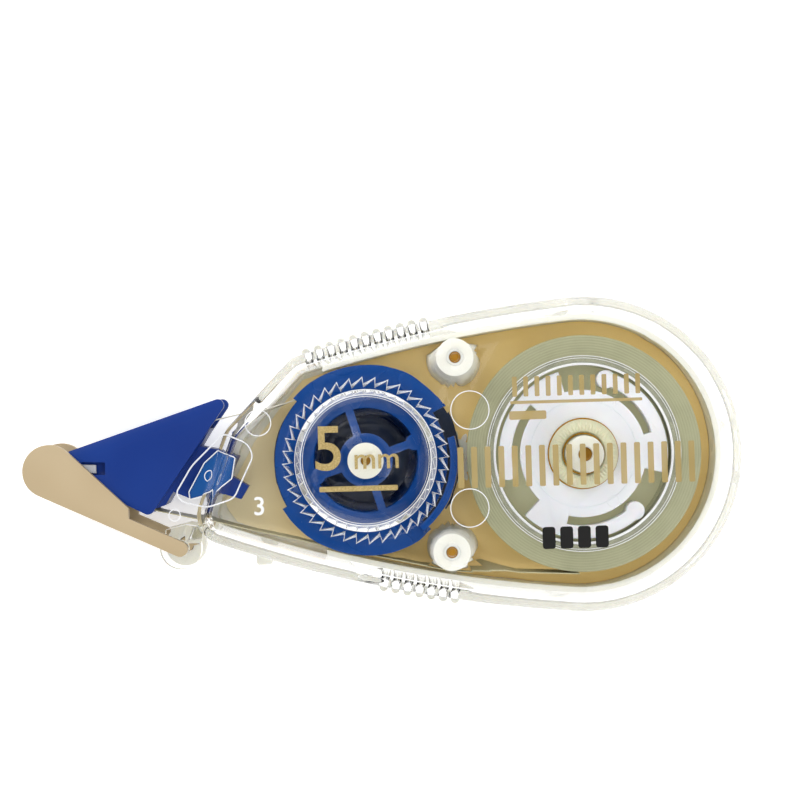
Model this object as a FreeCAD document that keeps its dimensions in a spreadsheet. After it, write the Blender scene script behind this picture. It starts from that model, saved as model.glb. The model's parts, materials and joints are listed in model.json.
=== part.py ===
import FreeCAD, Part
import math
import os
import Sketcher

# Correction tape roller, lying on its back.
# +X runs from the tip to the supply end, +Z is the clear front.
# The case and everything in it is drawn about the take-up reel's axis, the nose pieces about the cap's hinge.

# ---------------------------------------------------------------- driving dimensions (millimetres, degrees)

SIZES = {
    # tape and reels
    "tape_width": 5.0,
    "tape_film": 0.1,
    "roll_radius": 12.6,
    "core_radius": 9.75,
    "core_wall": 0.35,
    "core_rim_radius": 10.45,
    "flange_radius": 9.93,
    "reel_gap": 0.57,
    "drum_radius": 7.3,
    "drum_wall": 0.8,
    "winding_build": 0.4,
    # case outline
    "roll_room": 2.82,
    "case_wall": 1.25,
    "side_radius": 150.0,
    "side_angle": 5.0,
    "nose_reach": 19.9,
    "hinge_drop": 8.8,
    "shoulder_back": 12.3,
    "brow_back": 5.1,
    "brow_height": 3.57,
    "chin_back": 0.9,
    "corner_inner_round": 1.95,
    "rim_inner_round": 1.75,
    "heel_inner_round": 0.25,
    "lip_thickness": 0.8,
    "lip_height": 1.2,
    "shell_play": 0.05,
    # case depth, from the back up
    "back_depth": 5.0,
    "plate_thickness": 0.6,
    "plate_margin": 2.2,
    "gear_gap": 0.3,
    "gear_width": 1.2,
    "flange_gap": 0.2,
    "rear_flange": 0.6,
    "side_gap": 0.2,
    "front_flange": 0.8,
    "front_room": 2.4,
    # posts
    "supply_post_radius": 1.96,
    "supply_post_bore": 0.76,
    "take_up_post_radius": 1.9,
    "take_up_post_bore": 0.55,
    "idler_post_radius": 0.87,
    "running_play": 0.07,
    "screw_post_radius": 1.95,
    "screw_post_bore": 0.82,
    "upper_post_back": 13.42,
    "upper_post_depth": 4.48,
    "lower_post_back": 14.3,
    "lower_post_depth": 5.04,
    "post_rib": 1.2,
    "post_end_gap": 0.15,
    "cover_pin_bore": 0.45,
    "cover_pin_length": 3.0,
    "head_pin_radius": 0.68,
    # gears
    "supply_teeth": 66,
    "idler_teeth": 14,
    "take_up_teeth": 38,
    "pressure_angle": 20.0,
    "backlash": 0.08,
    # take-up reel
    "hub_radius": 3.1,
    "window_radius": 6.2,
    "spoke_width": 0.95,
    "spoke_depth": 1.6,
    "boss_radius": 0.95,
    "lobe_rise": 0.17,
    "pawl_inner": 8.85,
    "pawl_outer": 9.6,
    "pawl_height": 1.5,
    "ratchet_teeth": 40,
    "ratchet_wall": 7.42,
    "ratchet_root": 7.75,
    "ratchet_tip": 8.72,
    "ratchet_depth": 2.0,
    # clutch
    "clutch_radius": 6.8,
    "clutch_plate": 1.2,
    "clutch_hub": 3.65,
    "arm_inner": 7.7,
    "arm_outer": 9.1,
    "arm_depth": 3.0,
    "arm_tip_radius": 1.0,
    "arm_tip_centre": 8.3,
    # nose, head and cap
    "guard_thickness": 0.9,
    "guard_round": 0.65,
    "pin_play": 0.07,
    "hinge_pin_radius": 0.78,
    "ear_radius": 2.2,
    "ear_thickness": 1.5,
    "ear_play": 0.15,
    "cap_plate": 0.9,
    "cap_wall": 0.6,
    "cap_play": 0.3,
    "cap_reach": 13.6,
    "cap_rise": 8.6,
    "cap_end_radius": 2.8,
    "arm_end_radius": 0.8,
    "blade_tip_radius": 0.15,
    # grip ribs
    "rib_pitch": 1.25,
    "rib_radius": 0.45,
    "upper_rib_first": -6.0,
    "upper_rib_count": 11,
    "lower_rib_first": 1.5,
    "lower_rib_count": 7,
}

doc = FreeCAD.newDocument("correction_tape_roller")
sheet = doc.addObject("Spreadsheet::Sheet", "Sizes")
for row, (alias, value) in enumerate(SIZES.items(), start=1):
    sheet.set(f"A{row}", alias.replace("_", " "))
    sheet.set(f"B{row}", str(value))
    sheet.setAlias(f"B{row}", alias)
doc.recompute()


def bound(expression):
    """An expression over plain size names, turned into one that reads the sheet."""
    for alias in sorted(SIZES, key=len, reverse=True):
        expression = expression.replace(f"<{alias}>", f"Sizes.{alias}")
    return expression


def number(expression):
    """The present value of such an expression."""
    value = sheet.evalExpression(bound(expression))
    return float(getattr(value, "Value", value))


# ---------------------------------------------------------------- places worked out from the sizes

REAR_RADIUS = "(<roll_radius> + <roll_room> + <case_wall>)"
REEL_SPACING = "(<roll_radius> + <reel_gap> + <flange_radius>)"
TOOTH_SUM = "(<supply_teeth> + 2 * <idler_teeth> + <take_up_teeth>)"
MODULE = f"(2 * {REEL_SPACING} / {TOOTH_SUM})"
IDLER_X = f"({MODULE} * (<take_up_teeth> + <idler_teeth>) / 2)"
TIP_X = "(<nose_reach> + <cap_reach> + <cap_end_radius>)"
TAKE_UP_X = f"(({TIP_X} - {REEL_SPACING} - {REAR_RADIUS}) / 2)"
SUPPLY_X = f"({TAKE_UP_X} + {REEL_SPACING})"
HINGE_X = f"({TAKE_UP_X} - <nose_reach>)"
HINGE_Y = "(-<hinge_drop>)"

PLATE_TOP = "(<case_wall> + <plate_thickness>)"
GEAR_Z = f"({PLATE_TOP} + <gear_gap>)"
GEAR_TOP = f"({GEAR_Z} + <gear_width>)"
REAR_FLANGE_Z = f"({GEAR_TOP} + <flange_gap>)"
REAR_FLANGE_TOP = f"({REAR_FLANGE_Z} + <rear_flange>)"
TAPE_Z = f"({REAR_FLANGE_TOP} + <side_gap>)"
TAPE_TOP = f"({TAPE_Z} + <tape_width>)"
FRONT_FLANGE_Z = f"({TAPE_TOP} + <side_gap>)"
FRONT_FLANGE_TOP = f"({FRONT_FLANGE_Z} + <front_flange>)"
WINDOW_Z = f"({FRONT_FLANGE_TOP} + <front_room>)"
FRONT_Z = f"({WINDOW_Z} + <case_wall>)"
GUARD_FRONT_TOP = f"({FRONT_FLANGE_Z} + <guard_thickness>)"
GUARD_REAR_Z = f"({REAR_FLANGE_TOP} - <guard_thickness>)"
CAP_FRONT_Z = f"({GUARD_FRONT_TOP} + <cap_play>)"
CAP_FRONT_TOP = f"({CAP_FRONT_Z} + <cap_plate>)"
CAP_REAR_TOP = f"({GUARD_REAR_Z} - <cap_play>)"
CAP_REAR_Z = f"({CAP_REAR_TOP} - <cap_plate>)"
FRONT_EAR_TOP = f"({CAP_FRONT_Z} - <ear_play>)"
REAR_EAR_Z = f"({CAP_REAR_TOP} + <ear_play>)"

# A shell's outer roundings follow its wall, so that the wall stays even round every edge.
CORNER_ROUND = "(<case_wall> + <corner_inner_round>)"
RIM_ROUND = "(<case_wall> + <rim_inner_round>)"
HEEL_ROUND = "(<case_wall> + <heel_inner_round>)"


def side_y(x, inset="0"):
    """Height of the case's upper side above the reel line at x, drawn in by inset."""
    centre_x = f"({REEL_SPACING} + (<side_radius> - {REAR_RADIUS}) * sin(<side_angle> * 1deg))"
    centre_y = f"((<side_radius> - {REAR_RADIUS}) * cos(<side_angle> * 1deg))"
    return f"(sqrt((<side_radius> - {inset})^2 - ({x} - {centre_x})^2) - {centre_y})"


# ---------------------------------------------------------------- small modelling steps

def new_body(label, x, y="0"):
    body = doc.addObject("PartDesign::Body", label)
    body.Label = label
    body.setExpression(".Placement.Base.x", bound(x))
    body.setExpression(".Placement.Base.y", bound(y))
    return body


def origin_feature(body, role):
    return next(item for item in body.Origin.OriginFeatures if item.Role == role)


def new_sketch(body, name, height):
    sketch = body.newObject("Sketcher::SketchObject", name)
    sketch.AttachmentSupport = [(origin_feature(body, "XY_Plane"), "")]
    sketch.MapMode = "FlatFace"
    sketch.setExpression(".AttachmentOffset.Base.z", bound(height))
    return sketch


def fix(sketch, kind, *arguments, size):
    """Add a dimension to the sketch and tie it to the sheet."""
    index = sketch.addConstraint(Sketcher.Constraint(kind, *arguments, number(size)))
    sketch.setExpression(f"Constraints[{index}]", bound(size))


def draw_circle(sketch, radius, x="0", y="0"):
    centre = FreeCAD.Vector(number(x), number(y), 0)
    circle = sketch.addGeometry(Part.Circle(centre, FreeCAD.Vector(0, 0, 1), number(radius)))
    fix(sketch, "DistanceX", -1, 1, circle, 3, size=x)
    fix(sketch, "DistanceY", -1, 1, circle, 3, size=y)
    fix(sketch, "Radius", circle, size=radius)


def draw_outline(sketch, corners, arcs=None):
    """A closed outline through the corners; arcs maps a corner's number to the radius of the side after it.

    A positive radius keeps the arc's centre to the left of the way round, a negative one to the right.
    """
    arcs = arcs or {}
    points = [FreeCAD.Vector(number(x), number(y), 0) for x, y in corners]
    sides = []
    for index, start in enumerate(points):
        end = points[(index + 1) % len(points)]
        if index not in arcs:
            sides.append((sketch.addGeometry(Part.LineSegment(start, end)), 1, 2))
            continue
        radius, turn = arcs[index]
        reach = number(radius)
        chord = end - start
        left = FreeCAD.Vector(-chord.y, chord.x, 0).normalize()
        sagitta_room = max(reach ** 2 - chord.Length ** 2 / 4, 0)
        centre = (start + end) * 0.5 + left * turn * math.sqrt(sagitta_room)
        angles = [math.atan2(point.y - centre.y, point.x - centre.x) for point in (start, end)]
        circle = Part.Circle(centre, FreeCAD.Vector(0, 0, 1), reach)
        if turn > 0:
            sides.append((sketch.addGeometry(Part.ArcOfCircle(circle, *angles)), 1, 2))
        else:
            sides.append((sketch.addGeometry(Part.ArcOfCircle(circle, *reversed(angles))), 2, 1))
    for index, (side, _, last) in enumerate(sides):
        following, first, _ = sides[(index + 1) % len(sides)]
        sketch.addConstraint(Sketcher.Constraint("Coincident", side, last, following, first))
    for index, (x, y) in enumerate(corners):
        side, first, _ = sides[index]
        fix(sketch, "DistanceX", -1, 1, side, first, size=x)
        fix(sketch, "DistanceY", -1, 1, side, first, size=y)
        if index in arcs:
            fix(sketch, "Radius", side, size=arcs[index][0])


def pad(body, sketch, length):
    feature = body.newObject("PartDesign::Pad", f"{sketch.Name}_pad")
    feature.Profile = sketch
    feature.setExpression("Length", bound(length))
    return feature


def pocket(body, sketch, length):
    """Cut upwards from the sketch, and make sure that the cut took something away."""
    doc.recompute()
    before = body.Shape.Volume
    feature = body.newObject("PartDesign::Pocket", f"{sketch.Name}_pocket")
    feature.Profile = sketch
    feature.Reversed = True
    feature.setExpression("Length", bound(length))
    doc.recompute()
    if body.Shape.Volume >= before:
        raise ValueError(f"{feature.Name} cuts nothing from {body.Label}")
    return feature


def disc(body, name, height, length, radius, bore=None, x="0", y="0"):
    """A round pad, or a ring where a bore is given."""
    sketch = new_sketch(body, name, height)
    draw_circle(sketch, radius, x, y)
    if bore:
        draw_circle(sketch, bore, x, y)
    return pad(body, sketch, length)


def bore_hole(body, name, height, length, radius, x="0", y="0"):
    sketch = new_sketch(body, name, height)
    draw_circle(sketch, radius, x, y)
    return pocket(body, sketch, length)


def slab(body, name, height, length, corners, arcs=None):
    sketch = new_sketch(body, name, height)
    draw_outline(sketch, corners, arcs)
    return pad(body, sketch, length)


def polar_copies(body, feature, count):
    doc.recompute()
    pattern = body.newObject("PartDesign::PolarPattern", f"{feature.Name}_copies")
    pattern.Originals = [feature]
    pattern.Axis = (origin_feature(body, "Z_Axis"), [""])
    pattern.Angle = 360
    pattern.setExpression("Occurrences", bound(count))
    body.Tip = pattern
    return pattern


def round_edges(body, name, radius, wanted):
    """Fillet each edge of the body for which wanted(edge) is true."""
    doc.recompute()
    base = body.Tip
    chosen = [f"Edge{index}" for index, edge in enumerate(base.Shape.Edges, start=1) if wanted(edge)]
    feature = body.newObject("PartDesign::Fillet", name)
    feature.Base = (base, chosen)
    feature.setExpression("Radius", bound(radius))
    doc.recompute()
    return feature


def upright_near(spots):
    """Picks upright edges that stand at one of the spots."""
    places = [(number(x), number(y)) for x, y in spots]

    def wanted(edge):
        low, high = edge.Vertexes[0].Point, edge.Vertexes[-1].Point
        upright = math.hypot(low.x - high.x, low.y - high.y) < 1e-6 and abs(low.z - high.z) > 1e-6
        return upright and any(math.hypot(low.x - x, low.y - y) < 0.05 for x, y in places)
    return wanted


def at_height(height):
    level = number(height)
    return lambda edge: all(abs(vertex.Point.z - level) < 1e-6 for vertex in edge.Vertexes)


def polar_point(radius, angle):
    return (f"({radius} * cos({angle} * 1deg))", f"({radius} * sin({angle} * 1deg))")


def sector(inner, outer, start, end):
    """Corners and arcs of a ring segment between two angles."""
    corners = [polar_point(outer, start), polar_point(outer, end),
               polar_point(inner, end), polar_point(inner, start)]
    return corners, {0: (outer, 1), 2: (inner, -1)}


# ---------------------------------------------------------------- case outline, shared by both shells

REAR_ARC_X = f"({REEL_SPACING} - {REAR_RADIUS} * sin(<side_angle> * 1deg))"
REAR_ARC_Y = f"({REAR_RADIUS} * cos(<side_angle> * 1deg))"
SHOULDER_X = "(<shoulder_back> - <nose_reach>)"
BROW_X = "(<brow_back> - <nose_reach>)"
CHIN_X = "(<chin_back> - <nose_reach>)"
SHOULDER = (SHOULDER_X, side_y(SHOULDER_X))
BROW = (BROW_X, "<brow_height>")
CHIN = (CHIN_X, f"(-{side_y(CHIN_X)})")


def rearmost(inset):
    return (f"({REEL_SPACING} + {REAR_RADIUS} - {inset})", "0")


def draw_case(sketch):
    upper_end, lower_end = (REAR_ARC_X, REAR_ARC_Y), (REAR_ARC_X, f"(-{REAR_ARC_Y})")
    side_arc, rear_arc = ("<side_radius>", 1), (REAR_RADIUS, 1)
    corners = [upper_end, SHOULDER, BROW, CHIN, lower_end, rearmost("0")]
    draw_outline(sketch, corners, {0: side_arc, 3: side_arc, 4: rear_arc, 5: rear_arc})


def inset_rear_arc(inset):
    """The upper end of the rear arc when the outline is drawn in by inset."""
    radius = f"({REAR_RADIUS} - {inset})"
    return (f"({REEL_SPACING} - {radius} * sin(<side_angle> * 1deg))",
            f"({radius} * cos(<side_angle> * 1deg))")


def hollow_shell(body, height, depth, open_face_z, rounded_z, rounding):
    """A tray or lid of even wall: the case outline, its corners and outer edge rounded, then hollowed."""
    sketch = new_sketch(body, f"{body.Name}_outline", height)
    draw_case(sketch)
    pad(body, sketch, depth)
    round_edges(body, f"{body.Name}_corners", CORNER_ROUND, upright_near([SHOULDER, BROW, CHIN]))
    round_edges(body, f"{body.Name}_edge", rounding, at_height(rounded_z))
    base = body.Tip
    level = number(open_face_z)
    open_faces = [f"Face{index}" for index, face in enumerate(base.Shape.Faces, start=1)
                  if abs(face.BoundBox.ZMin - level) < 1e-6 and abs(face.BoundBox.ZMax - level) < 1e-6]
    shell = body.newObject("PartDesign::Thickness", f"{body.Name}_shell")
    shell.Base = (base, open_faces)
    shell.Reversed = True
    shell.setExpression("Value", bound("<case_wall>"))
    doc.recompute()


# The nose is open where the head's neck goes in and both runs of tape come out.
NOSE_MOUTH = [
    (f"({BROW_X} + 3.3)", "(<brow_height> + 3.6)"),
    (f"({BROW_X} - 1.2)", "(<brow_height> + 2.6)"),
    (f"({CHIN_X} - 3.0)", "(-<hinge_drop> + 2.6)"),
    (f"({CHIN_X} + 2.4)", "(-<hinge_drop> + 2.6)"),
    (f"({BROW_X} + 2.2)", "(<brow_height> - 1.6)"),
    (f"({BROW_X} + 4.2)", "(<brow_height> + 1.9)"),
]
MOUTH_Z = f"({REAR_FLANGE_TOP} - 0.2)"
MOUTH_TOP = f"({FRONT_FLANGE_Z} + 0.2)"


def open_nose(body):
    sketch = new_sketch(body, f"{body.Name}_mouth", MOUTH_Z)
    draw_outline(sketch, NOSE_MOUTH)
    pocket(body, sketch, f"({MOUTH_TOP} - {MOUTH_Z})")


def hinge_ear(body, height, thickness):
    """A round ear below the nose on a short web, bored for the cap's pin."""
    hinge_x, hinge_y = "(-<nose_reach>)", HINGE_Y
    web = [(f"({hinge_x} - 1.6)", f"({hinge_y} + 0.2)"), (f"({hinge_x} + 2.1)", f"({hinge_y} + 0.2)"),
           (f"({hinge_x} + 2.4)", f"({hinge_y} + 2.2)"), (f"({hinge_x} + 0.6)", f"({hinge_y} + 2.5)"),
           (f"({hinge_x} - 1.6)", f"({hinge_y} + 2.0)")]
    slab(body, f"{body.Name}_web", height, thickness, web)
    disc(body, f"{body.Name}_ear", height, thickness, "<ear_radius>", x=hinge_x, y=hinge_y)
    bore_hole(body, f"{body.Name}_ear_bore", f"({height} - 0.1)", f"({thickness} + 0.2)",
              "(<hinge_pin_radius> + <pin_play>)", hinge_x, hinge_y)


UPPER_POST_X = f"({REEL_SPACING} - <upper_post_back>)"
LOWER_POST_X = f"({REEL_SPACING} - <lower_post_back>)"
UPPER_POST = (UPPER_POST_X, f"({side_y(UPPER_POST_X)} - <upper_post_depth>)")
LOWER_POST = (LOWER_POST_X, f"(<lower_post_depth> - {side_y(LOWER_POST_X)})")

# The pin that holds the head, measured from the cap's hinge.
HEAD_PIN = ("3.45", "7.39")


# ---------------------------------------------------------------- back case

def build_back_case():
    body = new_body("back_case", TAKE_UP_X)
    hollow_shell(body, "0", "<back_depth>", "<back_depth>", "0", HEEL_ROUND)
    # a lip round the sides and rear, inside the front shell's wall
    outer = "(<case_wall> + <shell_play>)"
    inner = f"({outer} + <lip_thickness>)"
    end_x = f"({SHOULDER_X} + 3)"
    outer_y, inner_y = side_y(end_x, outer), side_y(end_x, inner)
    arc_outer, arc_inner = inset_rear_arc(outer), inset_rear_arc(inner)
    lip = [arc_outer, (end_x, outer_y), (end_x, inner_y), arc_inner, rearmost(inner),
           (arc_inner[0], f"(-{arc_inner[1]})"), (end_x, f"(-{inner_y})"),
           (end_x, f"(-{outer_y})"), (arc_outer[0], f"(-{arc_outer[1]})"), rearmost(outer)]
    side_outer, side_inner = f"(<side_radius> - {outer})", f"(<side_radius> - {inner})"
    rear_outer, rear_inner = f"({REAR_RADIUS} - {outer})", f"({REAR_RADIUS} - {inner})"
    lip_arcs = {0: (side_outer, 1), 2: (side_inner, -1), 3: (rear_inner, -1), 4: (rear_inner, -1),
                5: (side_inner, -1), 7: (side_outer, 1), 8: (rear_outer, 1), 9: (rear_outer, 1)}
    slab(body, "lip", "<case_wall>", "(<back_depth> - <case_wall> + <lip_height>)", lip, lip_arcs)
    open_nose(body)
    post_height = f"({WINDOW_Z} - <case_wall> + 0.1)"
    foot = "(<case_wall> - 0.1)"
    disc(body, "supply_post", foot, post_height, "<supply_post_radius>", x=REEL_SPACING)
    disc(body, "take_up_post", foot, post_height, "<take_up_post_radius>")
    disc(body, "idler_post", foot, f"({GEAR_TOP} - <case_wall> + 0.1)", "<idler_post_radius>", x=IDLER_X)
    disc(body, "head_post", foot, f"({FRONT_FLANGE_Z} - <case_wall> + 0.1)", "<head_pin_radius>",
         x=f"({HEAD_PIN[0]} - <nose_reach>)", y=f"({HEAD_PIN[1]} - <hinge_drop>)")
    for name, (x, y), side in (("upper", UPPER_POST, 1), ("lower", LOWER_POST, -1)):
        disc(body, f"{name}_post", foot, f"({post_height} - <post_end_gap>)", "<screw_post_radius>", x=x, y=y)
        # a rib from the post to the wall, just above the base plate
        wall_y = f"({side} * ({side_y(x)} - <case_wall> / 2))"
        left, right = f"({x} - <post_rib> / 2)", f"({x} + <post_rib> / 2)"
        low, high = (y, wall_y) if side > 0 else (wall_y, y)
        rib_z = f"({PLATE_TOP} + <shell_play>)"
        slab(body, f"{name}_rib", rib_z, f"({REAR_FLANGE_Z} - {rib_z})",
             [(left, low), (right, low), (right, high), (left, high)])
    depth = f"({WINDOW_Z} - {TAPE_Z} + 0.1)"
    bore_hole(body, "supply_bore", TAPE_Z, depth, "<supply_post_bore>", x=REEL_SPACING)
    bore_hole(body, "take_up_bore", TAPE_Z, depth, "<take_up_post_bore>")
    for name, (x, y) in (("upper", UPPER_POST), ("lower", LOWER_POST)):
        bore_hole(body, f"{name}_bore", TAPE_Z, depth, "<screw_post_bore>", x=x, y=y)
    hinge_ear(body, REAR_EAR_Z, "<ear_thickness>")
    return body


# ---------------------------------------------------------------- front cover

def build_front_cover():
    body = new_body("front_cover", TAKE_UP_X)
    depth = f"({FRONT_Z} - <back_depth>)"
    hollow_shell(body, "<back_depth>", depth, "<back_depth>", FRONT_Z, RIM_ROUND)
    # the ring of ratchet teeth that the take-up reel's pawl runs round
    ratchet_z = f"({WINDOW_Z} - <ratchet_depth>)"
    ratchet_length = "(<ratchet_depth> + 0.1)"
    foot = "(<ratchet_root> - 0.15)"
    tip_angle, end_angle = "(360 / <ratchet_teeth> * 0.12)", "(360 / <ratchet_teeth> * 0.96)"
    tooth = [polar_point(foot, "0"), polar_point("<ratchet_root>", "0"),
             polar_point("<ratchet_tip>", tip_angle),
             polar_point("<ratchet_root>", end_angle), polar_point(foot, end_angle)]
    disc(body, "ratchet_ring", ratchet_z, ratchet_length, "<ratchet_root>", "<ratchet_wall>")
    polar_copies(body, slab(body, "ratchet_tooth", ratchet_z, ratchet_length, tooth), "<ratchet_teeth>")
    doc.recompute()
    # hollow pins that enter the assembly posts
    for name, (x, y) in (("upper", UPPER_POST), ("lower", LOWER_POST)):
        disc(body, f"{name}_pin", f"({WINDOW_Z} - <cover_pin_length>)", "(<cover_pin_length> + 0.1)",
             "(<screw_post_bore> - 0.02)", "<cover_pin_bore>", x, y)
    # grip ribs on both sides
    rib_z = "(<back_depth> + 0.6)"
    rib_length = f"({FRONT_Z} - {RIM_ROUND} - {rib_z})"
    rib_rows = (("upper", 1, "<upper_rib_first>", "<upper_rib_count>"),
                ("lower", -1, "<lower_rib_first>", "<lower_rib_count>"))
    for name, side, first, count in rib_rows:
        sketch = new_sketch(body, f"{name}_ribs", rib_z)
        for index in range(int(number(count))):
            x = f"({first} + {index} * <rib_pitch>)"
            draw_circle(sketch, "<rib_radius>", x, f"({side} * {side_y(x)})")
        pad(body, sketch, rib_length)
    open_nose(body)
    hinge_ear(body, f"({FRONT_EAR_TOP} - <ear_thickness>)", "<ear_thickness>")
    return body


# ---------------------------------------------------------------- base plate on the rear shell's floor

def build_base_plate():
    body = new_body("base_plate", TAKE_UP_X)
    margin = "<plate_margin>"
    end_x = f"({SHOULDER_X} + 0.4)"
    arc_x, arc_y = inset_rear_arc(margin)
    chin_x = f"({CHIN_X} + 4.6)"
    corners = [(arc_x, arc_y), (end_x, side_y(end_x, margin)),
               (f"({BROW_X} + 2.6)", "(<brow_height> - 1.4)"),
               (f"({CHIN_X} + 3.0)", "(-<hinge_drop> + 4.6)"),
               (chin_x, f"(-{side_y(chin_x, margin)})"),
               (arc_x, f"(-{arc_y})"), rearmost(margin)]
    side_arc, rear_arc = f"(<side_radius> - {margin})", f"({REAR_RADIUS} - {margin})"
    slab(body, "plate", "<case_wall>", "<plate_thickness>", corners,
         {0: (side_arc, 1), 4: (side_arc, 1), 5: (rear_arc, 1), 6: (rear_arc, 1)})
    holes = (("supply", "<supply_post_radius>", REEL_SPACING, "0"),
             ("take_up", "<take_up_post_radius>", "0", "0"),
             ("idler", "<idler_post_radius>", IDLER_X, "0"),
             ("upper", "<screw_post_radius>", *UPPER_POST),
             ("lower", "<screw_post_radius>", *LOWER_POST))
    for name, radius, x, y in holes:
        bore_hole(body, f"{name}_hole", "(<case_wall> - 0.1)", "(<plate_thickness> + 0.2)",
                  f"({radius} + <shell_play>)", x, y)
    return body


# ---------------------------------------------------------------- gears

def tooth_outline(teeth):
    """One tooth pointing along +X, its flanks drawn as arcs that touch the involute at the pitch circle."""
    pitch_radius = f"({MODULE} * {teeth} / 2)"
    base_radius = f"({pitch_radius} * cos(<pressure_angle> * 1deg))"
    flank = f"({pitch_radius} * sin(<pressure_angle> * 1deg))"
    root = f"({pitch_radius} - 1.25 * {MODULE})"
    half_tooth = f"(90 / {teeth} - <backlash> / 4 / {pitch_radius} * 180 / pi)"

    def spread(radius):
        swing = f"acos(({radius}^2 + {base_radius}^2 - {flank}^2) / (2 * {radius} * {base_radius}))"
        return f"({half_tooth} - <pressure_angle> + {swing} / 1deg)"

    tip = f"({pitch_radius} + {MODULE})"
    foot = f"({root} - 0.05)"
    corners = [polar_point(tip, f"(-{spread(tip)})"), polar_point(tip, spread(tip)),
               polar_point(root, spread(root)), polar_point(foot, spread(root)),
               polar_point(foot, f"(-{spread(root)})"), polar_point(root, f"(-{spread(root)})")]
    return corners, {1: (flank, 1), 5: (flank, 1)}, root


def gear_teeth(body, teeth, bore, start_angle="0"):
    """A toothed disc at the gears' level; start_angle turns the first tooth away from +X."""
    corners, arcs, root = tooth_outline(teeth)
    if start_angle != "0":
        cosine, sine = f"cos({start_angle} * 1deg)", f"sin({start_angle} * 1deg)"
        corners = [(f"({x} * {cosine} - {y} * {sine})", f"({x} * {sine} + {y} * {cosine})")
                   for x, y in corners]
    disc(body, f"{body.Name}_blank", GEAR_Z, "<gear_width>", root, bore)
    tooth = slab(body, f"{body.Name}_tooth", GEAR_Z, "<gear_width>", corners, arcs)
    polar_copies(body, tooth, teeth)
    doc.recompute()


def build_supply_gear():
    """Gear, rear flange under the tape roll and the long hub that carries the clutch disc."""
    body = new_body("supply_gear", SUPPLY_X)
    bore = "(<supply_post_radius> + <running_play>)"
    gear_teeth(body, "<supply_teeth>", bore, "180")
    disc(body, "web", f"({GEAR_TOP} - 0.05)", f"({REAR_FLANGE_TOP} - {GEAR_TOP} + 0.05)",
         "(<core_radius> + 1.2)", bore)
    disc(body, "hub", f"({REAR_FLANGE_TOP} - 0.1)", f"({FRONT_FLANGE_TOP} - {REAR_FLANGE_TOP} + 0.1)",
         "<clutch_hub>", bore)
    bore_hole(body, "hub_mouth", f"({FRONT_FLANGE_TOP} - 1.2)", "1.4", f"({bore} + 0.35)")
    return body


def build_idler_gear():
    body = new_body("idler_gear", f"({TAKE_UP_X} + {IDLER_X})")
    gear_teeth(body, "<idler_teeth>", "(<idler_post_radius> + <running_play>)", "(180 / <idler_teeth>)")
    return body


def build_take_up_gear():
    """Navy gear with the take-up reel's rear flange and a floor that shows through the reel's windows."""
    body = new_body("take_up_gear", TAKE_UP_X)
    bore = "(<take_up_post_radius> + <running_play>)"
    gear_teeth(body, "<take_up_teeth>", bore)
    disc(body, "collar", f"({GEAR_TOP} - 0.05)", "(<flange_gap> + 0.1)", "<hub_radius>", bore)
    disc(body, "rear_flange", REAR_FLANGE_Z, "<rear_flange>", "(<flange_radius> - 0.35)", bore)
    return body


# ---------------------------------------------------------------- take-up reel

def build_take_up_reel():
    """Blue reel: drum, hub and four spokes, a front flange in two lobes and the springy pawl arm."""
    body = new_body("take_up_reel", TAKE_UP_X)
    bore = "(<take_up_post_radius> + <running_play>)"
    drum_inner = "(<drum_radius> - <drum_wall>)"
    drum_length = f"({FRONT_FLANGE_TOP} - {REAR_FLANGE_TOP})"
    slot_inner = "(<pawl_inner> - 0.4)"
    lobe = "(<flange_radius> + <lobe_rise>)"
    disc(body, "drum", REAR_FLANGE_TOP, drum_length, "<drum_radius>", drum_inner)
    disc(body, "flange", FRONT_FLANGE_Z, "<front_flange>", slot_inner, "<window_radius>")
    rim_start = "(<pawl_inner> - 0.5)"
    waist = "(<flange_radius> - 0.43)"
    for name, outer, start, end in (("upper_lobe", lobe, "34", "138"), ("waist", waist, "137", "210"),
                                    ("lower_lobe", lobe, "209", "312")):
        slab(body, name, FRONT_FLANGE_Z, "<front_flange>", *sector(rim_start, outer, start, end))
    slab(body, "pawl_arm", FRONT_FLANGE_Z, "(<front_flange> + <pawl_height>)",
         *sector("<pawl_inner>", "<pawl_outer>", "308", "374"))
    disc(body, "hub", REAR_FLANGE_TOP, f"({drum_length} + 0.4)", "<hub_radius>", bore)
    spoke_z = f"({FRONT_FLANGE_TOP} - <spoke_depth>)"
    reach, start, half = f"({drum_inner} + 0.2)", "(<hub_radius> - 0.3)", "(<spoke_width> / 2)"
    spokes = (("spoke_a", "107"), ("spoke_b", "287"), ("spoke_c", "18.8"), ("spoke_d", "196.8"))
    for name, angle in spokes:
        along, across = polar_point("1", angle), polar_point("1", f"({angle} + 90)")
        corners = [(f"({length} * {along[0]} + {side} * {half} * {across[0]})",
                    f"({length} * {along[1]} + {side} * {half} * {across[1]})")
                   for length, side in ((start, -1), (reach, -1), (reach, 1), (start, 1))]
        slab(body, name, spoke_z, "<spoke_depth>", corners)
    for name, angle in (("boss_c", "18.8"), ("boss_d", "196.8")):
        x, y = polar_point("(<window_radius> - 0.1)", angle)
        disc(body, name, spoke_z, "<spoke_depth>", "<boss_radius>", x=x, y=y)
    return body


# ---------------------------------------------------------------- slipping clutch and roll

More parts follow.
